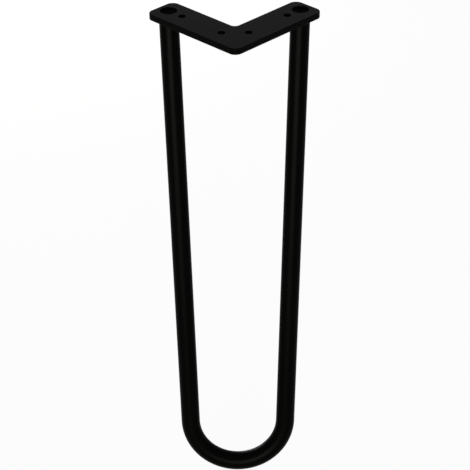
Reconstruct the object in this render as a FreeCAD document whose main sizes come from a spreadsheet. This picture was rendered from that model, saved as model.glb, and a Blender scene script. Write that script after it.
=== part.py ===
import FreeCAD, Part
import os

import Sketcher

# Hairpin table leg, in millimetres.
# One round bar is bent into a narrow U. Its two ends are cut level and stand under the arms of
# a V-shaped mounting plate, where each end is plug-welded through a hole smaller than the bar.
#
# Frame: the origin is the crossing of the two arms' centre lines on the plate's upper face,
# which is the face that meets the furniture. +Z points up out of that face, +X across the V,
# and +Y out between the arms. The bar runs down and leans towards -Y, under the corner.

# Holes lie on an arm's centre line: the bar hole is placed from the arm's end, the outer screw
# from the bar hole, and the inner screw from the crossing of the two centre lines.
PLATE_SIZES = [
    ("plate_thickness", "4"),
    ("arm_angle", "45"),                # from X to each arm, so that the arms are square
    ("arm_length", "75"),               # along the outer edge, from the corner to the end
    ("arm_width", "22.5"),
    ("outer_corner_radius", "5"),
    ("inner_corner_radius", "3.2"),
    ("end_corner_radius", "5"),
    ("plate_edge_radius", "0.4"),       # round on the outline's edges, at both faces
    ("bar_hole_diameter", "10"),        # smaller than the bar that stands under it
    ("bar_hole_from_end", "8"),
    ("screw_hole_diameter", "4.5"),
    ("bar_hole_to_outer_screw", "11.5"),
    ("inner_screw_reach", "11.25"),
]
BAR_SIZES = [
    ("bar_diameter", "12"),
    ("leg_height", "305"),              # from the plate's upper face to the foot of the bend
    ("leg_lean", "11"),                 # of the bar's plane, from upright
    ("bend_radius", "31"),              # of the bar's centre line
]
WELD_SIZES = [
    ("weld_recess", "2.2"),             # from the plate's upper face down to the weld's rim
    ("weld_crown", "0.6"),              # from the weld's rim up to its middle
]
WORKED_OUT = [
    ("arm_reach", "=arm_length - arm_width / 2 * tan(arm_angle)"),
    ("corner_depth", "=arm_width / 2 / cos(arm_angle)"),
    ("bar_hole_reach", "=arm_reach - bar_hole_from_end"),
    ("outer_screw_reach", "=bar_hole_reach - bar_hole_to_outer_screw"),
    ("bar_offset", "=bar_hole_reach * cos(arm_angle)"),
    ("bar_setback", "=bar_hole_reach * sin(arm_angle)"),
    ("bend_depth", "=(leg_height - plate_thickness - bar_diameter / 2) / cos(leg_lean)"),
    ("bend_centre_depth", "=bend_depth - bend_radius"),
    ("bar_allowance", "=bar_diameter"),             # bar length above the cut, at each end
    ("cut_width", "=2 * bar_offset + 4 * bar_allowance"),
    ("cut_depth", "=4 * bar_allowance"),
    ("weld_rim", "=plate_thickness - weld_recess"),
    ("weld_middle", "=weld_rim + weld_crown"),
]

UPWARD = FreeCAD.Vector(0, 0, 1)

# In a sketch, these name a curve's points, and the origin and axes as geometry.
START, END, CENTRE = 1, 2, 3
ORIGIN = (-1, 1)
ACROSS, UP = -1, -2

doc = FreeCAD.newDocument("hairpin_leg")


def make_sheet():
    """One size to a row, with its name as the alias of its cell."""
    sheet = doc.addObject("Spreadsheet::Sheet", "Sizes")
    rows = PLATE_SIZES + BAR_SIZES + WELD_SIZES + WORKED_OUT
    for row, (alias, content) in enumerate(rows, start=1):
        sheet.set(f"A{row}", alias)
        sheet.set(f"B{row}", content)
        sheet.setAlias(f"B{row}", alias)
    doc.recompute()
    return sheet


sheet = make_sheet()


def size(alias):
    """A size as a number, for where a sketch's geometry starts and for picking edges."""
    return float(sheet.get(alias))


def at(x, y):
    return FreeCAD.Vector(x, y, 0)


def along_arm(reach, across=0.0):
    """A point on the right arm: so far out along its centre line, and so far to its inner side."""
    return FreeCAD.Rotation(UPWARD, size("arm_angle")).multVec(at(reach, across))


def mirrored(place):
    return at(-place.x, place.y)


def make_body(name):
    body = doc.addObject("PartDesign::Body", name)
    body.Label = name
    return body


def origin_plane(body, role):
    return next(plane for plane in body.Origin.OriginFeatures if plane.Role == role)


def make_sketch(body, name, role):
    """An empty sketch on one of the body's own origin planes."""
    sketch = body.newObject("Sketcher::SketchObject", name)
    sketch.AttachmentSupport = [(origin_plane(body, role), "")]
    sketch.MapMode = "FlatFace"
    return sketch


def make_feature(body, kind, name, profile=None):
    feature = body.newObject("PartDesign::" + kind, name)
    if profile is not None:
        feature.Profile = profile
        profile.Visibility = False
    return feature


def constrain(sketch, kind, *references):
    return sketch.addConstraint(Sketcher.Constraint(kind, *references))


def dimension(sketch, name, expression, kind, *references):
    """A named dimension of a sketch that follows the sheet."""
    index = constrain(sketch, kind, *references)
    sketch.renameConstraint(index, name)
    sketch.setExpression(f"Constraints.{name}", expression)


def arm_slope(sketch, line):
    """Turns a line from the X direction by the arm's angle."""
    angle = FreeCAD.Units.Quantity(f"{size('arm_angle')} deg")
    dimension(sketch, "slope", "Sizes.arm_angle * 1 deg", "Angle", line, angle)


def closed_outline(sketch, corners):
    """Straight edges from corner to corner, joined end to start."""
    edges = []
    for here, there in zip(corners, corners[1:] + corners[:1]):
        edges.append(sketch.addGeometry(Part.LineSegment(here, there), False))
    for edge, following in zip(edges, edges[1:] + edges[:1]):
        constrain(sketch, "Coincident", edge, END, following, START)
    return edges


def plate_corners():
    """The V's corners while they are sharp: the outer one, the inner one and the arm ends."""
    half = size("arm_width") / 2
    outer, inner = at(0, -size("corner_depth")), at(0, size("corner_depth"))
    near_end = along_arm(size("arm_reach"), -half)
    far_end = along_arm(size("arm_reach"), half)
    return outer, inner, [near_end, far_end, mirrored(far_end), mirrored(near_end)]


def plate_outline(body):
    """The V with sharp corners: six edges, the same on both sides of the Y axis."""
    sketch = make_sketch(body, "VOutline", "XY_Plane")
    outer, inner, (near_end, far_end, left_far_end, left_near_end) = plate_corners()
    edges = closed_outline(sketch, [outer, near_end, far_end, inner, left_far_end, left_near_end])
    outer_right, end_right, inner_right, inner_left, end_left, outer_left = edges
    constrain(sketch, "PointOnObject", outer_right, START, UP)
    constrain(sketch, "PointOnObject", inner_right, END, UP)
    constrain(sketch, "Symmetric", outer_right, END, outer_left, START, UP)
    constrain(sketch, "Symmetric", inner_right, START, inner_left, END, UP)
    constrain(sketch, "Perpendicular", outer_right, end_right)
    constrain(sketch, "Parallel", outer_right, inner_right)
    arm_slope(sketch, outer_right)
    dimension(sketch, "arm", "Sizes.arm_length", "Distance", outer_right, size("arm_length"))
    dimension(sketch, "end", "Sizes.arm_width", "Distance", end_right, size("arm_width"))
    corner = (outer_right, START, *ORIGIN, size("corner_depth"))
    dimension(sketch, "corner", "Sizes.corner_depth", "DistanceY", *corner)
    return sketch


def hole_plan(body, name, diameter, reaches):
    """Holes on the right arm's centre line, each at its own reach from the origin."""
    sketch = make_sketch(body, name, "XY_Plane")
    arm = sketch.addGeometry(Part.LineSegment(at(0, 0), along_arm(size("arm_reach"))), True)
    constrain(sketch, "Coincident", arm, START, *ORIGIN)
    arm_slope(sketch, arm)
    dimension(sketch, "arm", "Sizes.arm_reach", "Distance", arm, size("arm_reach"))
    for number, reach in enumerate(reaches, start=1):
        ring = Part.Circle(along_arm(size(reach)), UPWARD, size(diameter) / 2)
        hole = sketch.addGeometry(ring, False)
        constrain(sketch, "PointOnObject", hole, CENTRE, arm)
        span = (*ORIGIN, hole, CENTRE, size(reach))
        dimension(sketch, f"reach{number}", f"Sizes.{reach}", "Distance", *span)
        across = (hole, size(diameter))
        dimension(sketch, f"across{number}", f"Sizes.{diameter}", "Diameter", *across)
    return sketch


def is_upright(edge):
    return abs(edge.tangentAt(edge.FirstParameter).dot(UPWARD)) > 0.99


def corner_edges(shape, places):
    """The names of a shape's upright edges that stand at the given places."""
    names = []
    for number, edge in enumerate(shape.Edges, start=1):
        foot = edge.valueAt(edge.FirstParameter)
        if is_upright(edge) and any(at(foot.x, foot.y).isEqual(place, 0.01) for place in places):
            names.append(f"Edge{number}")
    return names


def face_edges(shape):
    """The names of the edges that lie round both faces of a plate."""
    return [f"Edge{n}" for n, edge in enumerate(shape.Edges, start=1) if not is_upright(edge)]


def make_fillet(body, name, base, edges, radius):
    fillet = make_feature(body, "Fillet", name)
    fillet.Base = (base, edges)
    fillet.setExpression("Radius", f"Sizes.{radius}")
    doc.recompute()
    return fillet


def make_plate():
    """A V of flat bar, with a bar hole and two screw holes down each arm."""
    body = make_body("mounting_plate")
    blank = make_feature(body, "Pad", "Blank", plate_outline(body))
    blank.setExpression("Length", "Sizes.plate_thickness")
    blank.Reversed = True
    doc.recompute()

    outer, inner, ends = plate_corners()
    base = blank
    for name, places, radius in (
        ("OuterCorner", [outer], "outer_corner_radius"),
        ("InnerCorner", [inner], "inner_corner_radius"),
        ("EndCorners", ends, "end_corner_radius"),
    ):
        base = make_fillet(body, name, base, corner_edges(base.Shape, places), radius)
    eased = make_fillet(body, "EasedEdges", base, face_edges(base.Shape), "plate_edge_radius")

    screw_reaches = ["outer_screw_reach", "inner_screw_reach"]
    cuts = []
    for name, diameter, reaches in (
        ("BarHole", "bar_hole_diameter", ["bar_hole_reach"]),
        ("ScrewHoles", "screw_hole_diameter", screw_reaches),
    ):
        cut = make_feature(body, "Pocket", name, hole_plan(body, name + "Plan", diameter, reaches))
        cut.Type = "ThroughAll"
        cuts.append(cut)
    both_arms = make_feature(body, "Mirrored", "BothArms")
    both_arms.Originals = cuts
    both_arms.MirrorPlane = (origin_plane(body, "YZ_Plane"), [""])
    body.Tip = both_arms
    doc.recompute()
    require_less(body, eased, "the plate's holes")
    return body


def require_less(body, before, cut):
    """Stops if the cuts since an earlier feature took nothing away."""
    if not 0 < body.Shape.Volume < before.Shape.Volume:
        raise RuntimeError(f"{cut} cut nothing from {body.Label}")


def bar_path(body):
    """The bar's centre line in the leaning plane: a straight, the bend and a straight.

    The sketch's origin lies midway between the two bar ends, on the plate's lower face.
    """
    sketch = make_sketch(body, "HairpinPath", "XZ_Plane")
    sketch.AttachmentOffset = FreeCAD.Placement(
        FreeCAD.Vector(0, -size("plate_thickness"), -size("bar_setback")),
        FreeCAD.Rotation(FreeCAD.Vector(1, 0, 0), -size("leg_lean")),
    )
    sketch.setExpression("AttachmentOffset.Base.y", "-Sizes.plate_thickness")
    sketch.setExpression("AttachmentOffset.Base.z", "-Sizes.bar_setback")
    sketch.setExpression("AttachmentOffset.Rotation.Angle", "-Sizes.leg_lean")

    offset, allowance = size("bar_offset"), size("bar_allowance")
    radius, depth = size("bend_radius"), size("bend_centre_depth")
    left, low, right = at(-radius, -depth), at(0, -depth - radius), at(radius, -depth)
    left_bar = sketch.addGeometry(Part.LineSegment(at(-offset, allowance), left), False)
    bend = sketch.addGeometry(Part.Arc(left, low, right), False)
    right_bar = sketch.addGeometry(Part.LineSegment(right, at(offset, allowance)), False)
    constrain(sketch, "Tangent", left_bar, END, bend, START)
    constrain(sketch, "Tangent", bend, END, right_bar, START)
    constrain(sketch, "PointOnObject", bend, CENTRE, UP)
    dimension(sketch, "bend", "Sizes.bend_radius", "Radius", bend, radius)
    drop = (bend, CENTRE, *ORIGIN, depth)
    dimension(sketch, "drop", "Sizes.bend_centre_depth", "DistanceY", *drop)

    left_seat = sketch.addGeometry(Part.Point(at(-offset, 0)), True)
    right_seat = sketch.addGeometry(Part.Point(at(offset, 0)), True)
    constrain(sketch, "Symmetric", left_seat, START, right_seat, START, *ORIGIN)
    constrain(sketch, "PointOnObject", right_seat, START, ACROSS)
    half_span = (*ORIGIN, right_seat, START, offset)
    dimension(sketch, "seat", "Sizes.bar_offset", "DistanceX", *half_span)
    for side, bar, tip, seat in (
        ("left", left_bar, START, left_seat),
        ("right", right_bar, END, right_seat),
    ):
        constrain(sketch, "PointOnObject", seat, START, bar)
        rise = (*ORIGIN, bar, tip, allowance)
        dimension(sketch, side + "_allowance", "Sizes.bar_allowance", "DistanceY", *rise)
    return sketch


def level_cut_plan(body):
    """A rectangle on the plate's lower face that takes in both bar ends."""
    sketch = make_sketch(body, "LevelCutPlan", "XY_Plane")
    middle = FreeCAD.Vector(0, size("bar_setback"), -size("plate_thickness"))
    sketch.AttachmentOffset = FreeCAD.Placement(middle, FreeCAD.Rotation())
    sketch.setExpression("AttachmentOffset.Base.y", "Sizes.bar_setback")
    sketch.setExpression("AttachmentOffset.Base.z", "-Sizes.plate_thickness")
    width, depth = size("cut_width"), size("cut_depth")
    near_right, far_right = at(width / 2, -depth / 2), at(width / 2, depth / 2)
    corners = [mirrored(near_right), near_right, far_right, mirrored(far_right)]
    near, right, far, left = closed_outline(sketch, corners)
    constrain(sketch, "Horizontal", near)
    constrain(sketch, "Horizontal", far)
    constrain(sketch, "Vertical", right)
    constrain(sketch, "Vertical", left)
    constrain(sketch, "Symmetric", near, START, right, END, *ORIGIN)
    dimension(sketch, "across", "Sizes.cut_width", "Distance", near, width)
    dimension(sketch, "along", "Sizes.cut_depth", "Distance", right, depth)
    return sketch


def make_bar():
    """The round bar swept along its path, then both ends cut level with the plate's lower face."""
    body = make_body("bent_rod")
    path = bar_path(body)
    doc.recompute()
    section = body.newObject("Sketcher::SketchObject", "BarSection")
    section.AttachmentSupport = [(path, "Edge1")]
    section.MapMode = "NormalToEdge"
    ring = Part.Circle(at(0, 0), UPWARD, size("bar_diameter") / 2)
    circle = section.addGeometry(ring, False)
    constrain(section, "Coincident", circle, CENTRE, *ORIGIN)
    dimension(section, "across", "Sizes.bar_diameter", "Diameter", circle, size("bar_diameter"))
    sweep = make_feature(body, "AdditivePipe", "Hairpin", section)
    sweep.Spine = (path, ["Edge1", "Edge2", "Edge3"])
    path.Visibility = False
    level_cut = make_feature(body, "Pocket", "LevelEnds", level_cut_plan(body))
    level_cut.Type = "ThroughAll"
    level_cut.Reversed = True
    doc.recompute()
    require_less(body, sweep, "the level cut")
    return body


def weld_profile(body):
    """Half of a weld's section: a flat foot, the hole's wall and a low crown."""
    sketch = make_sketch(body, "WeldSection", "XZ_Plane")
    radius, rim, middle = size("bar_hole_diameter") / 2, size("weld_rim"), size("weld_middle")
    crown_radius = (radius**2 + size("weld_crown")**2) / (2 * size("weld_crown"))
    crown_centre = at(0, middle - crown_radius)
    circle = Part.Circle(crown_centre, UPWARD, crown_radius)
    rim_angle, top_angle = circle.parameter(at(radius, rim)), circle.parameter(at(0, middle))
    foot = sketch.addGeometry(Part.LineSegment(at(0, 0), at(radius, 0)), False)
    wall = sketch.addGeometry(Part.LineSegment(at(radius, 0), at(radius, rim)), False)
    crown = sketch.addGeometry(Part.ArcOfCircle(circle, rim_angle, top_angle), False)
    axis = sketch.addGeometry(Part.LineSegment(at(0, middle), at(0, 0)), False)
    edges = [foot, wall, crown, axis]
    for edge, following in zip(edges, edges[1:] + edges[:1]):
        constrain(sketch, "Coincident", edge, END, following, START)
    constrain(sketch, "Coincident", foot, START, *ORIGIN)
    constrain(sketch, "Horizontal", foot)
    constrain(sketch, "Vertical", wall)
    constrain(sketch, "Vertical", axis)
    constrain(sketch, "PointOnObject", crown, CENTRE, UP)
    dimension(sketch, "reach", "Sizes.bar_hole_diameter / 2", "Distance", foot, radius)
    dimension(sketch, "rim", "Sizes.weld_rim", "Distance", wall, rim)
    dimension(sketch, "middle", "Sizes.weld_middle", "Distance", axis, middle)
    return sketch


def make_weld(name, side):
    """Weld metal in the lower part of a bar hole, on the bar's end. side is -1 left, 1 right."""
    body = make_body(name)
    profile = weld_profile(body)
    metal = make_feature(body, "Revolution", name + "_metal", profile)
    metal.ReferenceAxis = (profile, ["V_Axis"])
    body.setExpression("Placement.Base.x", f"{side} * Sizes.bar_offset")
    body.setExpression("Placement.Base.y", "Sizes.bar_setback")
    body.setExpression("Placement.Base.z", "-Sizes.plate_thickness")
    return body


def check_document(bodies):
    """Stops before anything is written if a feature failed or a piece isn't one sound solid."""
    for thing in doc.Objects:
        if "Invalid" in thing.State or "Error" in thing.State:
            raise RuntimeError(f"{thing.Name} is {thing.State}")
        if thing.TypeId == "Sketcher::SketchObject" and not thing.FullyConstrained:
            raise RuntimeError(f"{thing.Name} isn't fully constrained")
    for body in bodies:
        if body.Shape.isNull() or not body.Shape.isValid() or len(body.Shape.Solids) != 1:
            raise RuntimeError(f"{body.Label} isn't one sound solid")


bodies = [
    make_plate(),
    make_bar(),
    make_weld("left_plug_weld", -1),
    make_weld("right_plug_weld", 1),
]
doc.recompute()
check_document(bodies)
os.makedirs("parts", exist_ok=True)
for body in bodies:
    body.Shape.exportStep(f"parts/{body.Label}.step")
    print(body.Label, round(body.Shape.Volume, 1), "mm3")
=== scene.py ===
import math

import bmesh
import bpy
from mathutils import Matrix, Vector


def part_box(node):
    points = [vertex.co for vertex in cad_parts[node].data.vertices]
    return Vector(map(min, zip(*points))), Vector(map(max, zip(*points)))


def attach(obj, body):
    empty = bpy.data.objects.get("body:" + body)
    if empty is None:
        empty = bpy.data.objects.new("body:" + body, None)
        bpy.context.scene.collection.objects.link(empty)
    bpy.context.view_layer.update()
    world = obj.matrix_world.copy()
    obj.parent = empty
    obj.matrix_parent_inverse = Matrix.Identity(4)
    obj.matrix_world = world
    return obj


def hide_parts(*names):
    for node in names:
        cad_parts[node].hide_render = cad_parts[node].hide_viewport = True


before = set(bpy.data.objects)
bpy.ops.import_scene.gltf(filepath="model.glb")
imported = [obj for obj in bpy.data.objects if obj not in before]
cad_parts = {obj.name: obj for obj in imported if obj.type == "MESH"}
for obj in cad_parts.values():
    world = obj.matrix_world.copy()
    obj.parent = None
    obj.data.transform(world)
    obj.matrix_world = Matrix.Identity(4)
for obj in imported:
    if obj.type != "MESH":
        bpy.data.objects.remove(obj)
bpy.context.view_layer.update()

# Hairpin table leg, in metres. The bar, the plate and the weld metal are modelled at the sizes
# and places of the solids, with the eased rims, the weld ripples and the coat's own form.

# The solids give the plate's two faces, the foot of the bend and the holes over the bar ends.
PLATE_LOW, PLATE_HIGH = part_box("mounting_plate")
FOOT_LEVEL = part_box("bent_rod")[0].z
WELD_LOW, WELD_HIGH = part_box("right_plug_weld")
SEAT = Vector(((WELD_LOW.x + WELD_HIGH.x) / 2, (WELD_LOW.y + WELD_HIGH.y) / 2, PLATE_LOW.z))
BAR_HOLE_RADIUS = (WELD_HIGH.x - WELD_LOW.x) / 2

BAR_RADIUS = 0.006
BEND_RADIUS = 0.031                 # of the bar's centre line
LEAN = math.radians(11)             # of the hairpin's plane, from upright
BAR_FACETS = 96
BEND_STEPS = 88
COAT_FILLET = 0.0006                # radius of the coat in the corner of bar and plate
FILLET_STEPS = 6
COLLAR = 0.001                      # a ring at each end of a straight, for true shading
CUT_SLACK = 0.0000001               # more than rounding leaves between a cut and its plane

ARM_LENGTH = 0.075                  # along the outer edge, from the corner to the end
ARM_WIDTH = 0.0225
ARM_ANGLE = math.radians(45)
OUTER_CORNER_RADIUS = 0.005
INNER_CORNER_RADIUS = 0.0032
END_CORNER_RADIUS = 0.005
CORNER_STEPS = 14
SCREW_HOLE_RADIUS = 0.00225
SCREW_REACHES = (0.01125, 0.04425)  # along an arm, from the crossing of the centre lines
HOLE_FACETS = 72
PLATE_EDGE_RADIUS = 0.0004
SCREW_HOLE_RIM_RADIUS = 0.0003
BAR_HOLE_RIM_RADIUS = 0.0006
RIM_STEPS = 4
RIM_ANGLE = math.radians(60)        # an edge that turns by more is a rim
HOLE_REACH = 1.01                   # in a hole's radii, and takes in its rim alone
FLAT_ANGLE = math.radians(0.5)      # faces that turn by less are one flat
FLAT_WEIGHT = 100                   # the most, so that the flats' shading rules the rims'

WELD_CROWN = 0.0006                 # of the solid's weld, over its rim
WELD_RINGS = 48
WELD_FACETS = 96
WELD_RUN_RADIUS = 0.0037            # of the circle that the torch went round
WELD_RUN_WIDTH = 0.0011
WELD_RUN_HEIGHT = 0.00025
WELD_RIPPLES = 22
WELD_RIPPLE_HEIGHT = 0.00006
WELD_RIPPLE_SWEEP = 0.00035         # off the run by this much, a ripple lags by half a radian
WELD_MIDDLE_DEPTH = 0.0011          # of the sunken middle, under the rim of the solid's weld
WELD_MIDDLE_RADIUS = 0.0032
WELD_CRATER = Vector((0.0006, -0.0004))     # where the run ended
WELD_CRATER_RADIUS = 0.0011
WELD_CRATER_DEPTH = 0.0004
WELD_WETTING = 0.0005               # how far the metal climbs the hole's wall
WELD_WETTING_WIDTH = 0.0005
LEFT_WELD_START = math.radians(23)  # where each run began
RIGHT_WELD_START = math.radians(120)

# The camera stands where the photograph was taken from.
CAMERA_PLACE = Vector((-0.00700, -0.88085, 0.41684))
CAMERA_AIM = Vector((-0.00096, 0, -0.13396))
CAMERA_ROLL = math.radians(-0.42)
CAMERA_LENS = 128.3
SENSOR_WIDTH = 36
CLIP_START = 0.01

# The coat is satin black, with a powder coat's fine orange peel. Scales are in features to a metre.
COAT_DARK = (0.0003, 0.0003, 0.0003, 1)
COAT_PALE = (0.0007, 0.0007, 0.0006, 1)
COAT_SPECULAR = 0.014
COAT_ROUGHNESS = 0.35
WELD_COAT_ROUGHNESS = 0.29          # thicker, and pulled smooth in the weld's hollows
PEEL_SCALE = 620
PEEL_DETAIL = 2
PEEL_HEIGHT = 0.00004
PEEL_IN_ROUGHNESS = 0.1
GRAIN_SCALE = 3600
GRAIN_DETAIL = 1
GRAIN_HEIGHT = 0.18                 # as a share of the peel's
GRAIN_IN_ROUGHNESS = 0.06
CLOUD_SCALE = 45
CLOUD_DETAIL = 3
CLOUD_IN_ROUGHNESS = 0.08
NOISE_MIDDLE = 0.5

FLOOR_SIZE = 12
FLOOR_COLOUR = (0.9, 0.9, 0.9, 1)
FLOOR_GLOW = 0.95                   # share of the floor that is plain white where it is seen
WHITE = (1, 1, 1, 1)
SURROUND_LIGHT = 0.2                # what the white all round adds to matt surfaces

LAMP_AIM = Vector((0, 0, -0.12))
FRONT_LAMP_PLACE = Vector((-0.24, -1.5, 0.02))
FRONT_LAMP_SIZE = (1.15, 0.62)
FRONT_LAMP_POWER = 32
FRONT_LAMP_COLOUR = (1, 0.95, 0.86)

# This one is low, so that it shapes the bars from behind, where they lean over it.
BACK_LAMP_PLACE = Vector((-0.3, 0.8, -0.2))
BACK_LAMP_SIZE = (0.6, 0.3)
BACK_LAMP_POWER = 6
BACK_LAMP_COLOUR = (1, 0.97, 0.93)


# Meshes

def only(kind, geometry):
    return [item for item in geometry if isinstance(item, kind)]


def everything(mesh):
    return mesh.verts[:] + mesh.edges[:] + mesh.faces[:]


def finish_piece(mesh, name, material, node):
    """Turns a bmesh into a piece of the leg that stands for one of the solids."""
    bmesh.ops.recalc_face_normals(mesh, faces=mesh.faces[:])
    for face in mesh.faces:
        face.smooth = True
    data = bpy.data.meshes.new(name)
    mesh.to_mesh(data)
    mesh.free()
    data.materials.append(material)
    piece = bpy.data.objects.new(name, data)
    bpy.context.scene.collection.objects.link(piece)
    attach(piece, "root")
    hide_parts(node)
    return piece


def run_on(mesh, edges, offset):
    """Extrudes a ring of edges by an offset, and gives the new ring."""
    made = bmesh.ops.extrude_edge_only(mesh, edges=edges)["geom"]
    bmesh.ops.translate(mesh, verts=only(bmesh.types.BMVert, made), vec=offset)
    moved = set(only(bmesh.types.BMVert, made))
    return [edge for edge in only(bmesh.types.BMEdge, made) if moved.issuperset(edge.verts)]


# The bar

def fill_coat_corner(mesh):
    """Widens the top of each bar into the concave line of coat in the corner under the plate."""
    turns = [math.pi / 2 * step / FILLET_STEPS for step in range(1, FILLET_STEPS + 1)]
    depths = [COAT_FILLET * (1 - math.cos(turn)) for turn in turns] + [COAT_FILLET + COLLAR]
    for depth in depths:
        level = PLATE_LOW.z - depth
        bmesh.ops.bisect_plane(
            mesh, geom=everything(mesh), plane_co=(0, 0, level), plane_no=(0, 0, 1),
        )
    for vert in mesh.verts:
        below = max(PLATE_LOW.z - vert.co.z - CUT_SLACK, 0)
        if below < COAT_FILLET:
            growth = COAT_FILLET - math.sqrt(COAT_FILLET ** 2 - (COAT_FILLET - below) ** 2)
            centre_x = math.copysign(SEAT.x, vert.co.x)
            centre_y = SEAT.y - below * math.tan(LEAN)
            outward = Vector((vert.co.x - centre_x, vert.co.y - centre_y, 0))
            vert.co += outward.normalized() * growth


def bent_bar(coat):
    """A ring spun round the bend, run on up both straights past the seat, and cut level there."""
    mesh = bmesh.new()
    drop = (PLATE_LOW.z - FOOT_LEVEL - BAR_RADIUS) / math.cos(LEAN) - BEND_RADIUS
    to_seat = math.hypot(SEAT.x, drop)
    convergence = math.atan2(SEAT.x, drop) - math.asin(BEND_RADIUS / to_seat)
    past_seat = 2 * BAR_RADIUS
    straight = math.sqrt(to_seat ** 2 - BEND_RADIUS ** 2) + past_seat
    tangent_point = Matrix.Rotation(convergence, 4, "Y") @ Matrix.Translation((BEND_RADIUS, 0, 0))
    bmesh.ops.create_circle(mesh, segments=BAR_FACETS, radius=BAR_RADIUS, matrix=tangent_point)
    right_ring = mesh.edges[:]
    bend = bmesh.ops.spin(
        mesh, geom=mesh.verts[:] + right_ring, cent=(0, 0, 0), axis=(0, 1, 0),
        angle=math.pi - 2 * convergence, steps=BEND_STEPS,
    )
    left_ring = only(bmesh.types.BMEdge, bend["geom_last"])
    for side, ring in ((1, right_ring), (-1, left_ring)):
        along = Vector((side * math.sin(convergence), 0, math.cos(convergence)))
        collar = run_on(mesh, ring, along * COLLAR)
        run_on(mesh, collar, along * straight)

    middle = Vector((0, SEAT.y, SEAT.z)) - drop * Vector((0, math.sin(LEAN), math.cos(LEAN)))
    place = Matrix.Translation(middle) @ Matrix.Rotation(-LEAN, 4, "X")
    bmesh.ops.transform(mesh, matrix=place, verts=mesh.verts[:])
    bmesh.ops.bisect_plane(
        mesh, geom=everything(mesh), plane_co=SEAT, plane_no=(0, 0, 1), clear_outer=True,
    )
    fill_coat_corner(mesh)
    ends = [edge for edge in mesh.edges if edge.is_boundary]
    bmesh.ops.holes_fill(mesh, edges=ends, sides=0)
    for edge in ends:
        edge.smooth = False
    return finish_piece(mesh, "hairpin_bar", coat, "bent_rod")


# The plate

def along_arm(reach, across=0.0):
    """A point on the right arm: so far out on its centre line, and so far to its inner side."""
    return Matrix.Rotation(ARM_ANGLE, 3, "Z") @ Vector((reach, across, PLATE_HIGH.z))


def mirrored(place):
    return Vector((-place.x, place.y, place.z))


def v_outline(mesh):
    """The V's outline with rounded corners, as edges alone."""
    half = ARM_WIDTH / 2
    corner_depth = half / math.cos(ARM_ANGLE)
    arm_reach = ARM_LENGTH - half * math.tan(ARM_ANGLE)
    near_end, far_end = along_arm(arm_reach, -half), along_arm(arm_reach, half)
    corners = [
        (Vector((0, -corner_depth, PLATE_HIGH.z)), OUTER_CORNER_RADIUS),
        (near_end, END_CORNER_RADIUS),
        (far_end, END_CORNER_RADIUS),
        (Vector((0, corner_depth, PLATE_HIGH.z)), INNER_CORNER_RADIUS),
        (mirrored(far_end), END_CORNER_RADIUS),
        (mirrored(near_end), END_CORNER_RADIUS),
    ]
    sharp = [(mesh.verts.new(place), radius) for place, radius in corners]
    mesh.faces.new([vert for vert, radius in sharp])
    for vert, radius in sharp:
        bmesh.ops.bevel(
            mesh, geom=[vert], offset=radius, affect="VERTICES",
            segments=CORNER_STEPS, profile=0.5, material=-1,
        )
    bmesh.ops.delete(mesh, geom=mesh.faces[:], context="FACES_ONLY")


def plate_holes():
    """The centre and radius of every hole, and the round of its rim."""
    right = [(along_arm(math.hypot(SEAT.x, SEAT.y)), BAR_HOLE_RADIUS, BAR_HOLE_RIM_RADIUS)]
    right += [(along_arm(reach), SCREW_HOLE_RADIUS, SCREW_HOLE_RIM_RADIUS) for reach in SCREW_REACHES]
    return right + [(mirrored(centre), radius, rim) for centre, radius, rim in right]


def rim_radius(edge):
    """The round that a rim gets: a hole's own, or else the outline's."""
    middle = (edge.verts[0].co + edge.verts[1].co) / 2
    for centre, radius, rim in plate_holes():
        if (middle - centre).xy.length < radius * HOLE_REACH:
            return rim
    return PLATE_EDGE_RADIUS


def v_plate(coat):
    """The V cut from flat bar, with its holes, and with every rim eased under the coat."""
    mesh = bmesh.new()
    v_outline(mesh)
    for centre, radius, rim in plate_holes():
        place = Matrix.Translation(centre)
        bmesh.ops.create_circle(mesh, segments=HOLE_FACETS, radius=radius, matrix=place)
    bmesh.ops.triangle_fill(mesh, use_beauty=True, use_dissolve=False, edges=mesh.edges[:])
    bmesh.ops.dissolve_limit(mesh, angle_limit=FLAT_ANGLE, verts=mesh.verts[:], edges=mesh.edges[:])
    upper = mesh.faces[:]
    made = bmesh.ops.extrude_face_region(mesh, geom=upper, use_keep_orig=True)["geom"]
    thickness = Vector((0, 0, PLATE_LOW.z - PLATE_HIGH.z))
    bmesh.ops.translate(mesh, verts=only(bmesh.types.BMVert, made), vec=thickness)
    bmesh.ops.recalc_face_normals(mesh, faces=mesh.faces[:])
    rims = [edge for edge in mesh.edges if edge.calc_face_angle(0) > RIM_ANGLE]
    by_radius = {edge: rim_radius(edge) for edge in rims}
    for radius in (PLATE_EDGE_RADIUS, BAR_HOLE_RIM_RADIUS, SCREW_HOLE_RIM_RADIUS):
        alike = [edge for edge, own_radius in by_radius.items() if own_radius == radius]
        bmesh.ops.bevel(
            mesh, geom=alike, offset=radius, affect="EDGES",
            segments=RIM_STEPS, profile=0.5, material=-1,
        )
    plate = finish_piece(mesh, "v_plate", coat, "mounting_plate")
    flat_faces = plate.modifiers.new("flat_faces", "WEIGHTED_NORMAL")
    flat_faces.weight = FLAT_WEIGHT
    return plate


# The weld metal

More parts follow.
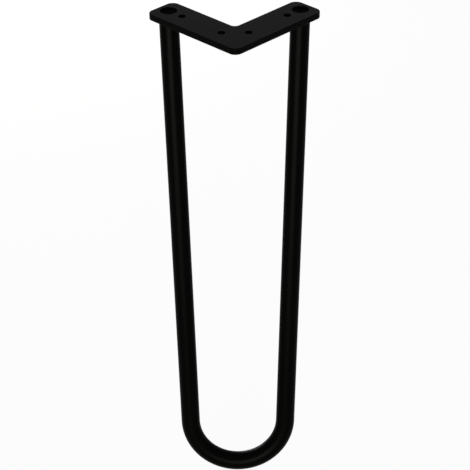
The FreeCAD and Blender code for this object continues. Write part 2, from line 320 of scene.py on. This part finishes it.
def weld_height(place, start):
    """How high the metal stands over the weld's rim, at a place from the hole's centre."""
    reach = place.length
    turn = math.atan2(place.y, place.x) + start
    off_run = reach - WELD_RUN_RADIUS
    run = math.exp(-(off_run / WELD_RUN_WIDTH) ** 2)
    swept_back = turn * WELD_RIPPLES + (off_run / WELD_RIPPLE_SWEEP) ** 2 / 2
    ripple = WELD_RIPPLE_HEIGHT * math.sin(swept_back)
    middle = WELD_MIDDLE_DEPTH * math.exp(-(reach / WELD_MIDDLE_RADIUS) ** 4)
    from_crater = (place - WELD_CRATER).length / WELD_CRATER_RADIUS
    crater = WELD_CRATER_DEPTH * math.exp(-from_crater ** 2)
    wetting = WELD_WETTING * math.exp((reach - BAR_HOLE_RADIUS) / WELD_WETTING_WIDTH)
    return run * (WELD_RUN_HEIGHT + ripple) + wetting - middle - crater


def plug_weld(name, node, start, coat):
    """Weld metal laid round in a bar hole: a rippled crown that has wetted the hole's wall."""
    low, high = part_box(node)
    centre = (low + high) / 2
    rim = high.z - WELD_CROWN
    mesh = bmesh.new()
    bmesh.ops.create_circle(mesh, segments=WELD_FACETS, radius=BAR_HOLE_RADIUS)
    ring = mesh.edges[:]
    wall = ring
    for step in range(1, WELD_RINGS):
        made = bmesh.ops.extrude_edge_only(mesh, edges=ring)["geom"]
        size = (WELD_RINGS - step) / (WELD_RINGS - step + 1)
        bmesh.ops.scale(mesh, verts=only(bmesh.types.BMVert, made), vec=(size, size, 1))
        ring = only(bmesh.types.BMEdge, made)
    bmesh.ops.holes_fill(mesh, edges=ring, sides=0)
    for vert in mesh.verts:
        vert.co.z = rim - low.z + weld_height(vert.co.xy, start)
    made = bmesh.ops.extrude_edge_only(mesh, edges=wall)["geom"]
    foot = only(bmesh.types.BMVert, made)
    for vert in foot:
        vert.co.z = 0
    bmesh.ops.holes_fill(mesh, edges=only(bmesh.types.BMEdge, made), sides=0)
    bmesh.ops.translate(mesh, verts=mesh.verts[:], vec=(centre.x, centre.y, low.z))
    return finish_piece(mesh, name, coat, node)


# Shader maths

class Value:
    """A node's output that takes part in arithmetic: each operation adds a Math node."""

    def __init__(self, nodes, socket):
        self.nodes = nodes
        self.socket = socket

    def maths(self, operation, *values):
        return self.nodes.add("ShaderNodeMath", {"operation": operation}, enumerate(values))

    def __add__(self, other):
        return self.maths("ADD", self, other)

    def __sub__(self, other):
        return self.maths("SUBTRACT", self, other)

    def __rsub__(self, other):
        return self.maths("SUBTRACT", other, self)

    def __mul__(self, other):
        return self.maths("MULTIPLY", self, other)

    __radd__ = __add__
    __rmul__ = __mul__

    def output(self, name):
        """Another output of the same node."""
        return Value(self.nodes, self.socket.node.outputs[name])


class Nodes:
    """The nodes of one material or world."""

    def __init__(self, owner):
        owner.use_nodes = True
        self.tree = owner.node_tree
        self.tree.nodes.clear()

    def add(self, kind, settings=None, values=(), output=0):
        """Adds a node: its settings or a ramp's stops first, then the values or links of its sockets."""
        node = self.tree.nodes.new(kind)
        for name, setting in (settings or {}).items():
            if name == "stops":
                for stop, colour in zip(node.color_ramp.elements, setting):
                    stop.color = colour
            else:
                setattr(node, name, setting)
        for socket, value in dict(values).items():
            if isinstance(value, Value):
                self.tree.links.new(value.socket, node.inputs[socket])
            else:
                node.inputs[socket].default_value = value
        return Value(self, node.outputs[output]) if len(node.outputs) else None

    def noise(self, place, scale, detail):
        values = {"Vector": place, "Scale": scale, "Detail": detail}
        return self.add("ShaderNodeTexNoise", None, values, "Fac")

    def mixed(self, share, first, second):
        return self.add("ShaderNodeMixShader", None, {0: share, 1: first, 2: second})

    def seen(self):
        """The rays that show the background: the camera's, mirrored ones and those through glass."""
        camera = self.add("ShaderNodeLightPath", output="Is Camera Ray")
        return camera + camera.output("Is Glossy Ray") + camera.output("Is Transmission Ray")


# Materials

def powder_coat(name, roughness):
    """Satin black powder coat, with a fine orange peel, a dusty grain and a slow change of gloss."""
    material = bpy.data.materials.new(name)
    nodes = Nodes(material)
    place = nodes.add("ShaderNodeTexCoord", output="Object")
    peel = nodes.noise(place, PEEL_SCALE, PEEL_DETAIL)
    grain = nodes.noise(place, GRAIN_SCALE, GRAIN_DETAIL)
    cloud = nodes.noise(place, CLOUD_SCALE, CLOUD_DETAIL)
    surface_height = {"Distance": PEEL_HEIGHT, "Height": peel + grain * GRAIN_HEIGHT}
    bump = nodes.add("ShaderNodeBump", None, surface_height, "Normal")
    gloss = roughness + (peel - NOISE_MIDDLE) * PEEL_IN_ROUGHNESS
    gloss = gloss + (grain - NOISE_MIDDLE) * GRAIN_IN_ROUGHNESS
    gloss = gloss + (cloud - NOISE_MIDDLE) * CLOUD_IN_ROUGHNESS
    stops = {"stops": (COAT_DARK, COAT_PALE)}
    shade = nodes.add("ShaderNodeValToRGB", stops, {"Fac": (cloud + grain) * 0.5}, "Color")
    values = {"Base Color": shade, "Roughness": gloss, "Normal": bump, "Specular IOR Level": COAT_SPECULAR}
    surface = nodes.add("ShaderNodeBsdfPrincipled", None, values)
    nodes.add("ShaderNodeOutputMaterial", None, {"Surface": surface})
    return material


def pale_floor():
    """Matt white, that keeps a shadow and is near plain white to the camera and in reflections."""
    material = bpy.data.materials.new("pale_floor")
    nodes = Nodes(material)
    matt = nodes.add("ShaderNodeBsdfDiffuse", None, {"Color": FLOOR_COLOUR})
    white = nodes.add("ShaderNodeEmission", None, {"Color": WHITE})
    from_above = nodes.mixed(nodes.seen() * FLOOR_GLOW, matt, white)
    from_below = nodes.add("ShaderNodeBsdfTransparent")
    below = nodes.add("ShaderNodeNewGeometry", output="Backfacing")
    surface = nodes.mixed(below, from_above, from_below)
    nodes.add("ShaderNodeOutputMaterial", None, {"Surface": surface})
    return material


# The studio

def lay_floor():
    mesh = bmesh.new()
    place = Matrix.Translation((0, 0, FOOT_LEVEL))
    bmesh.ops.create_grid(mesh, x_segments=1, y_segments=1, size=FLOOR_SIZE / 2, matrix=place)
    data = bpy.data.meshes.new("floor")
    mesh.to_mesh(data)
    mesh.free()
    data.materials.append(pale_floor())
    floor = bpy.data.objects.new("floor", data)
    bpy.context.scene.collection.objects.link(floor)


def set_surround():
    """Plain white all round to the camera and in reflections, and a low even light on matt surfaces."""
    world = bpy.data.worlds.new("white_surround")
    bpy.context.scene.world = world
    nodes = Nodes(world)
    light = nodes.add("ShaderNodeBackground", None, {"Color": WHITE, "Strength": SURROUND_LIGHT})
    white = nodes.add("ShaderNodeBackground", None, {"Color": WHITE})
    surround = nodes.mixed(nodes.seen(), light, white)
    nodes.add("ShaderNodeOutputWorld", None, {"Surface": surround})


def hang_lamp(name, place, size, power, colour):
    """A soft lamp that faces the leg, so wide and so high."""
    data = bpy.data.lights.new(name, "AREA")
    data.shape = "RECTANGLE"
    data.size, data.size_y = size
    data.energy = power
    data.color = colour
    lamp = bpy.data.objects.new(name, data)
    bpy.context.scene.collection.objects.link(lamp)
    lamp.location = place
    lamp.rotation_euler = (place - LAMP_AIM).to_track_quat("Z", "Y").to_euler()
    lamp.visible_camera = False


def set_camera():
    data = bpy.data.cameras.new("camera")
    data.lens = CAMERA_LENS
    data.sensor_width = SENSOR_WIDTH
    data.clip_start = CLIP_START
    camera = bpy.data.objects.new("camera", data)
    bpy.context.scene.collection.objects.link(camera)
    aim = (CAMERA_AIM - CAMERA_PLACE).to_track_quat("-Z", "Y").to_matrix().to_4x4()
    camera.matrix_world = Matrix.Translation(CAMERA_PLACE) @ aim @ Matrix.Rotation(CAMERA_ROLL, 4, "Z")
    bpy.context.scene.camera = camera


coat = powder_coat("black_powder_coat", COAT_ROUGHNESS)
weld_coat = powder_coat("black_coat_over_weld", WELD_COAT_ROUGHNESS)
bent_bar(coat)
v_plate(coat)
plug_weld("left_weld", "left_plug_weld", LEFT_WELD_START, weld_coat)
plug_weld("right_weld", "right_plug_weld", RIGHT_WELD_START, weld_coat)
lay_floor()
set_surround()
hang_lamp("front_lamp", FRONT_LAMP_PLACE, FRONT_LAMP_SIZE, FRONT_LAMP_POWER, FRONT_LAMP_COLOUR)
hang_lamp("back_lamp", BACK_LAMP_PLACE, BACK_LAMP_SIZE, BACK_LAMP_POWER, BACK_LAMP_COLOUR)
set_camera()
bpy.context.scene.view_settings.view_transform = "Standard"
